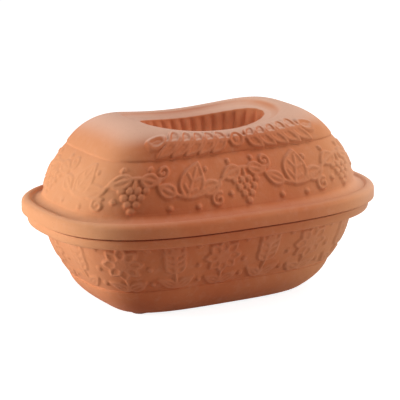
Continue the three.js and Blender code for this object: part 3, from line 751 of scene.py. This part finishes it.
def dish_wall(plan, sizes):
    """The dish from the middle of its underside, up outside and down inside to its floor."""
    setback = plan.setback
    bottom = level(sizes.bottom_length, sizes.bottom_width, sizes.squareness, sizes.foot_height)
    heel = drawn(bottom, -sizes.heel_out, sizes.heel_rise)
    skirt_top = level(sizes.skirt_length, sizes.skirt_width, sizes.squareness, sizes.skirt_height)
    field_foot = drawn(skirt_top, plan.field, plan.field)
    rim_foot = setback(sizes.rim_setback, sizes.height - sizes.rim_height + sizes.rim_round)
    rim_top = setback(sizes.rim_setback, sizes.height)
    neck = drawn(rim_foot, sizes.rim_overhang, -2 * sizes.rim_round)
    land = sizes.rim_setback + sizes.rim_land
    ledge_z = sizes.height - sizes.rebate
    throat = lifted(drawn(neck, plan.wall), ledge_z)
    cove = lifted(drawn(skirt_top, plan.wall), sizes.skirt_height + plan.wall / 2)
    floor_edge = drawn(bottom, plan.wall / 2, plan.wall)

    wall = Wall(shrunk(bottom))
    wall.run(bottom, 16)
    wall.curve(drawn(bottom, -0.6 * sizes.heel_out, 0.0), heel, 4)
    wall.run(drawn(skirt_top, 0.2 * EDGE, -0.8 * EDGE), 11, sizes.skirt_bulge)
    wall.curve(skirt_top, drawn(skirt_top, 0.5 * EDGE, 0.15 * EDGE), 3)
    wall.mark("fine_from")
    wall.curve(drawn(field_foot, 0, -0.5 * EDGE), drawn(field_foot, 0, 0.5 * EDGE), 2)
    wall.run(neck, FIELD_ROWS, sizes.wall_bulge)
    wall.mark("field", DISH_FIELD_BACK)
    wall.curve(drawn(neck, -0.1 * sizes.rim_round, 0.5 * sizes.rim_round),
               drawn(rim_foot, sizes.rim_round, -2 * sizes.rim_round), 5)
    wall.mark("fine_to")
    wall.curve(drawn(rim_foot, 0, -1.7 * sizes.rim_round), rim_foot, 6)
    wall.run(drawn(rim_top, 0, -sizes.rim_wear - 0.5 * EDGE), 3)
    wall.curve(drawn(rim_top, 0, -sizes.rim_wear), drawn(rim_top, 0.8 * EDGE, -sizes.rim_wear), 3)
    wall.run(drawn(rim_top, sizes.rim_edge - EDGE, -sizes.rim_wear), 2)
    wall.run(drawn(rim_top, sizes.rim_edge), 2)
    wall.run(setback(land - 0.7 * EDGE, sizes.height), 3)
    wall.curve(setback(land, sizes.height), setback(land, sizes.height - 0.7 * EDGE), 2)
    wall.run(setback(land, ledge_z + 0.7 * EDGE), 2)
    wall.curve(setback(land, ledge_z), setback(land + 0.7 * EDGE, ledge_z), 2)
    wall.run(drawn(throat, -0.8 * EDGE), 2)
    wall.curve(throat, drawn(throat, 0.1 * EDGE, -EDGE), 2)
    wall.run(cove, 8, sizes.wall_bulge)
    wall.run(floor_edge, 9, sizes.skirt_bulge)
    wall.run(shrunk(floor_edge), 5)
    return wall


def lid_wall(plan, sizes, hollow, dish):
    """The lid from the middle of its ceiling, down inside, round the flange and up to the hollow."""
    setback = plan.setback
    crest = level(sizes.crest_length, sizes.crest_width, sizes.crest_squareness,
                  sizes.top, sizes.top - sizes.crest_dip)
    mouth = level(hollow.length, hollow.width, hollow.squareness, sizes.top - hollow.drop,
                  sizes.top - sizes.crest_dip - hollow.side_drop)
    hollow_floor = level(hollow.floor_length, hollow.floor_width, hollow.floor_squareness,
                         sizes.top - hollow.depth)
    hollow_heel = drawn(hollow_floor, -hollow.heel_out, hollow.heel_rise)
    hollow_side = between(hollow_heel, mouth, 0.65, hollow.bulge)
    shelf = lifted(between(mouth, crest, hollow.shelf),
                   mouth[3] + hollow.shelf_slope, mouth[4] + hollow.shelf_slope)
    shelf[0] = mouth[0] + (crest[0] - mouth[0]) * hollow.shelf_end
    crown = level(sizes.crown_length, sizes.crown_width, sizes.crown_squareness, sizes.crown_height)
    crown_lip = drawn(crown, -sizes.crown_step, sizes.crown_step)
    shoulder = np.array([crown[0] - sizes.shoulder_x, crown[1] - sizes.shoulder_y, *crest[2:]])
    flange_top = plan.seat + sizes.flange_height
    groove_z = flange_top - sizes.groove_depth
    face = setback(0, flange_top - sizes.flange_round)
    wall_foot = setback(sizes.wall_setback, sizes.wall_foot)
    groove = setback(sizes.groove_setback, groove_z)
    cove = 2 * setback(sizes.cove_setback, groove_z + sizes.cove_rise) - (groove + wall_foot) / 2
    land = dish.rim_setback + dish.rim_land
    tongue_inset = land + sizes.tongue_clearance
    inner_inset = sizes.wall_setback + plan.wall
    inner_foot = setback(inner_inset, flange_top)
    inner_crown = drawn(crown, plan.wall, -0.4 * plan.wall)
    inner_shoulder = drawn(shoulder, plan.wall, -plan.wall)
    inner_crest = drawn(crest, 0, -plan.wall)

    under_floor = drawn(hollow_floor, 0, -plan.wall)
    wall = Wall(shrunk(under_floor))
    wall.run(under_floor, 4)
    wall.run(drawn(hollow_heel, -plan.wall, -0.4 * plan.wall), 3)
    wall.run(drawn(hollow_side, -plan.wall, -0.4 * plan.wall), 4)
    wall.run(inner_crest, 4)
    wall.curve(inner_shoulder, inner_crown, 7)
    wall.run(inner_foot, 8, sizes.wall_bulge)
    wall.run(setback(inner_inset, sizes.tongue + EDGE), 2)
    wall.curve(setback(inner_inset, sizes.tongue), setback(inner_inset - EDGE, sizes.tongue), 2)
    wall.run(setback(tongue_inset + EDGE, sizes.tongue), 1)
    wall.curve(setback(tongue_inset, sizes.tongue), setback(tongue_inset, sizes.tongue + EDGE), 2)
    wall.run(setback(tongue_inset, plan.seat), 1)
    wall.run(setback(sizes.flange_edge, plan.seat), 3)
    wall.curve(setback(0, plan.seat), setback(0, plan.seat + sizes.flange_edge), 3)
    wall.run(face, 3)
    for i in range(1, 7):
        angle = math.pi / 2 * i / 6
        wall.run(drawn(face, sizes.flange_round * (1 - math.cos(angle)),
                       sizes.flange_round * math.sin(angle)), 1)
    lip = setback(sizes.flange_round + sizes.lip, flange_top)
    wall.run(drawn(lip, -0.5 * sizes.lip), 1)
    wall.curve(drawn(lip, 0.3 * EDGE, 0), drawn(between(lip, groove, 0.4), 0.1 * EDGE, 0), 3)
    wall.run(drawn(groove, 0, 0.15 * EDGE), 2)
    wall.run(drawn(groove, 0.5 * EDGE, 0.05 * EDGE), 1)
    wall.curve(cove, wall_foot, 9)
    wall.mark("fine_from")
    wall.curve(drawn(wall_foot, 0.2 * sizes.crown_step, EDGE),
               drawn(wall_foot, sizes.crown_step, 1.5 * EDGE), 3)
    field_top = drawn(crown, -0.2 * EDGE, -1.4 * EDGE)
    field_top[1] -= 0.7 * EDGE
    wall.curve(between(wall.rows[-1], field_top, 0.62, 2.4 * sizes.wall_bulge), field_top, FIELD_ROWS)
    wall.mark("field", LID_FIELD_BACK)
    wall.curve(drawn(between(field_top, crown, 0.3), 0, 0.4 * EDGE), crown, 3)
    wall.curve(drawn(crown_lip, 0.1 * EDGE, -0.1 * EDGE),
               drawn(bend(crown_lip, shoulder, crest, 0.06), 0.1 * EDGE), 3)
    wall.curve(between(crown_lip, shoulder, 0.97), crest, CROWN_ROWS)
    wall.mark("crown", CROWN_BACK)
    slope = between(crest, shelf, 0.5)
    wall.mark("fine_to")
    wall.curve(lifted(between(crest, shelf, 0.25), crest[3], crest[4]), slope, 6)
    wall.curve(lifted(between(crest, shelf, 0.85), shelf[3], shelf[4]), shelf, 5)
    wall.run(between(mouth, shelf, 0.16), 3)
    wall.curve(mouth, between(mouth, hollow_heel, 0.06, hollow.bulge), 3, (0.0, 0.2 * hollow.rib_height))
    wall.run(between(mouth, hollow_heel, 0.25, hollow.bulge), 3, 0.0,
             (0.4 * hollow.rib_height, hollow.rib_height))
    wall.run(hollow_heel, 8, 0.75 * hollow.bulge, (hollow.rib_height, hollow.rib_height))
    wall.curve(drawn(hollow_floor, -0.3 * hollow.heel_out, 0.0), hollow_floor, 4, (hollow.rib_height, 0.0))
    wall.run(shrunk(hollow_floor), 3)
    return wall


def with_feet(sizes):
    """A function that presses four low pads out of the dish's underside."""

    def press(places):
        x = (np.abs(places[:, 0]) - (sizes.bottom_length / 2 - sizes.foot_inset_x)) / (sizes.foot_length / 2)
        y = (np.abs(places[:, 1]) - (sizes.bottom_width / 2 - sizes.foot_inset_y)) / (sizes.foot_width / 2)
        near = np.clip((FOOT_REACH - np.hypot(x, y)) / FOOT_SLOPE, 0, 1)
        low = places[:, 2] < sizes.foot_height + 0.0005
        places[:, 2] -= np.where(low, sizes.foot_height * near ** 2 * (3 - 2 * near), 0.0)
        return places

    return press


def with_offset(sizes, hollow):
    """A function that moves the hollow off the middle of the lid."""

    def press(places):
        out = (places[:, 0] * 2 / sizes.crest_length) ** 2 + (places[:, 1] * 2 / sizes.crest_width) ** 2
        near = np.clip((1.0 - out) / 0.5, 0, 1)
        places[:, 0] += hollow.offset * near ** 2 * (3 - 2 * near)
        return places

    return press


class ROASTER_OT_dish(bpy.types.Operator):
    """Make the dish with its rim, feet and ornamented wall"""

    bl_idname = "roaster.dish"
    bl_label = "Make Dish"

    def execute(self, context):
        scene = context.scene
        relief = scene.roaster_ornament
        wall = dish_wall(scene.roaster_plan, scene.roaster_dish)
        piece, marks = skin("dish_clay", wall, with_feet(scene.roaster_dish))
        clay = terracotta()
        height, around = marks["field"]
        pitch = around / relief.sheaves
        ears = sheaf(pitch)
        lay(piece, line_tree(), ears, (relief.sheaves + 2, pitch, -pitch, height, around), relief, clay)
        bake(piece)
        drop(ears)
        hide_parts("dish")
        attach(piece, "dish_body")
        return {"FINISHED"}


class ROASTER_OT_lid(bpy.types.Operator):
    """Make the lid with its flange, ornamented wall, crown and ribbed hollow"""

    bl_idname = "roaster.lid"
    bl_label = "Make Lid"

    def execute(self, context):
        scene = context.scene
        relief = scene.roaster_ornament
        hollow = scene.roaster_hollow
        wall = lid_wall(scene.roaster_plan, scene.roaster_lid, hollow, scene.roaster_dish)
        piece, marks = skin("lid_clay", wall, with_offset(scene.roaster_lid, hollow))
        clay = terracotta()
        give(piece, rib_tree(), {"Count": hollow.ribs, "Clay": clay})
        lines = line_tree()
        height, around = marks["field"]
        pitch = around / relief.vines
        waves = vine(pitch)
        lay(piece, lines, waves, (relief.vines + 2, pitch, -pitch, height, around), relief, clay)
        height, around = marks["crown"]
        twigs = garland(relief.garland)
        lay(piece, lines, twigs, (1, around, FRONT * around, height, around), relief, clay)
        bake(piece)
        drop(waves)
        drop(twigs)
        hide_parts("lid")
        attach(piece, "lid_body")
        return {"FINISHED"}


# Stage


def seen_directly(tree):
    """1 where the background is seen by the camera, in a gloss or through glass."""
    path = add(tree, "ShaderNodeLightPath", {}, {}).outputs
    seen = path["Is Camera Ray"]
    for kind in ("Is Glossy Ray", "Is Transmission Ray"):
        seen = add(tree, "ShaderNodeMath", {"operation": "MAXIMUM"}, {0: seen, 1: path[kind]})
    return seen


def paper_floor():
    """White studio paper: plain and matt, lit by itself where it is seen, with the object's shadow."""
    paper = bpy.data.materials.new("studio_paper")
    paper.use_nodes = True
    tree = paper.node_tree
    tree.nodes.clear()
    plain = add(tree, "ShaderNodeBsdfDiffuse", {}, {"Color": (*linear("d4d4d4"), 1.0)})
    shaded = add(tree, "ShaderNodeBsdfDiffuse", {}, {"Color": (0.5, 0.5, 0.5, 1.0)})
    glow = add(tree, "ShaderNodeEmission", {}, {"Color": WHITE, "Strength": 0.88})
    white = add(tree, "ShaderNodeAddShader", {}, {0: shaded, 1: glow})
    mixed = add(tree, "ShaderNodeMixShader", {}, {0: seen_directly(tree), 1: plain, 2: white})
    add(tree, "ShaderNodeOutputMaterial", {}, {"Surface": mixed})
    return paper


class ROASTER_OT_stage(bpy.types.Operator):
    """Set up the floor, the soft lamps, the room light and the camera"""

    bl_idname = "roaster.stage"
    bl_label = "Set Up Stage"

    def execute(self, context):
        scene = context.scene
        studio = scene.roaster_studio
        scene.view_settings.view_transform = "Standard"
        half = FLOOR_SIZE / 2
        mesh = bpy.data.meshes.new("floor")
        corners = [(-half, -half, 0), (half, -half, 0), (half, half, 0), (-half, half, 0)]
        mesh.from_pydata(corners, [], [(0, 1, 2, 3)])
        mesh.materials.append(paper_floor())
        floor = bpy.data.objects.new("floor", mesh)
        scene.collection.objects.link(floor)

        aim = Vector((0.0, 0.0, studio.aim))
        for name, place, size, power in (
                ("key_lamp", (-1.33, 0.48, 0.28), 0.60, studio.key),
                ("top_lamp", (0.55, -0.30, 1.38), 0.90, studio.top),
                ("fill_lamp", (1.05, -0.95, 0.30), 0.60, studio.fill)):
            lamp = bpy.data.lights.new(name, "AREA")
            lamp.size = size
            lamp.energy = power
            holder = bpy.data.objects.new(name, lamp)
            holder.location = place
            holder.rotation_euler = (aim - Vector(place)).to_track_quat("-Z", "Y").to_euler()
            scene.collection.objects.link(holder)

        room = bpy.data.worlds.new("room")
        room.use_nodes = True
        tree = room.node_tree
        tree.nodes.clear()
        soft = add(tree, "ShaderNodeBackground", {}, {"Color": WHITE, "Strength": studio.room})
        white = add(tree, "ShaderNodeBackground", {}, {"Color": WHITE, "Strength": 1.0})
        mixed = add(tree, "ShaderNodeMixShader", {}, {0: seen_directly(tree), 1: soft, 2: white})
        add(tree, "ShaderNodeOutputWorld", {}, {"Surface": mixed})
        scene.world = room

        view = bpy.data.cameras.new("camera")
        view.sensor_width = 36.0
        view.lens = studio.lens
        view.clip_end = 50.0
        camera = bpy.data.objects.new("camera", view)
        back = Vector((math.sin(studio.azimuth) * math.cos(studio.elevation),
                       -math.cos(studio.azimuth) * math.cos(studio.elevation), math.sin(studio.elevation)))
        camera.location = aim + back * studio.distance
        camera.rotation_euler = (-back).to_track_quat("-Z", "Y").to_euler()
        scene.collection.objects.link(camera)
        scene.camera = camera
        return {"FINISHED"}


class VIEW3D_PT_roaster(bpy.types.Panel):
    """The roaster's sizes, colours and makers"""

    bl_label = "Clay Roaster"
    bl_space_type = "VIEW_3D"
    bl_region_type = "UI"
    bl_category = "Roaster"

    def draw(self, context):
        for operator in OPERATORS:
            self.layout.operator(operator.bl_idname)
        for label, group in GROUPS.items():
            box = self.layout.box()
            settings = getattr(context.scene, label)
            for name in group.__annotations__:
                box.prop(settings, name)


GROUPS = {
    "roaster_plan": RoasterPlan,
    "roaster_dish": DishSizes,
    "roaster_lid": LidSizes,
    "roaster_hollow": HollowSizes,
    "roaster_ornament": OrnamentSizes,
    "roaster_clay": ClayFinish,
    "roaster_studio": StudioSetting,
}
OPERATORS = (ROASTER_OT_stage, ROASTER_OT_dish, ROASTER_OT_lid)


def register():
    """Add the settings, the operators and the panel."""
    for made in (*GROUPS.values(), *OPERATORS, VIEW3D_PT_roaster):
        bpy.utils.register_class(made)
    for label, group in GROUPS.items():
        setattr(bpy.types.Scene, label, bpy.props.PointerProperty(type=group))


def unregister():
    """Take them away again."""
    for label in GROUPS:
        delattr(bpy.types.Scene, label)
    for made in reversed((*GROUPS.values(), *OPERATORS, VIEW3D_PT_roaster)):
        bpy.utils.unregister_class(made)


def main():
    """Make the whole roaster."""
    register()
    bpy.ops.roaster.stage()
    bpy.ops.roaster.dish()
    bpy.ops.roaster.lid()


if __name__ == "__main__":
    main()
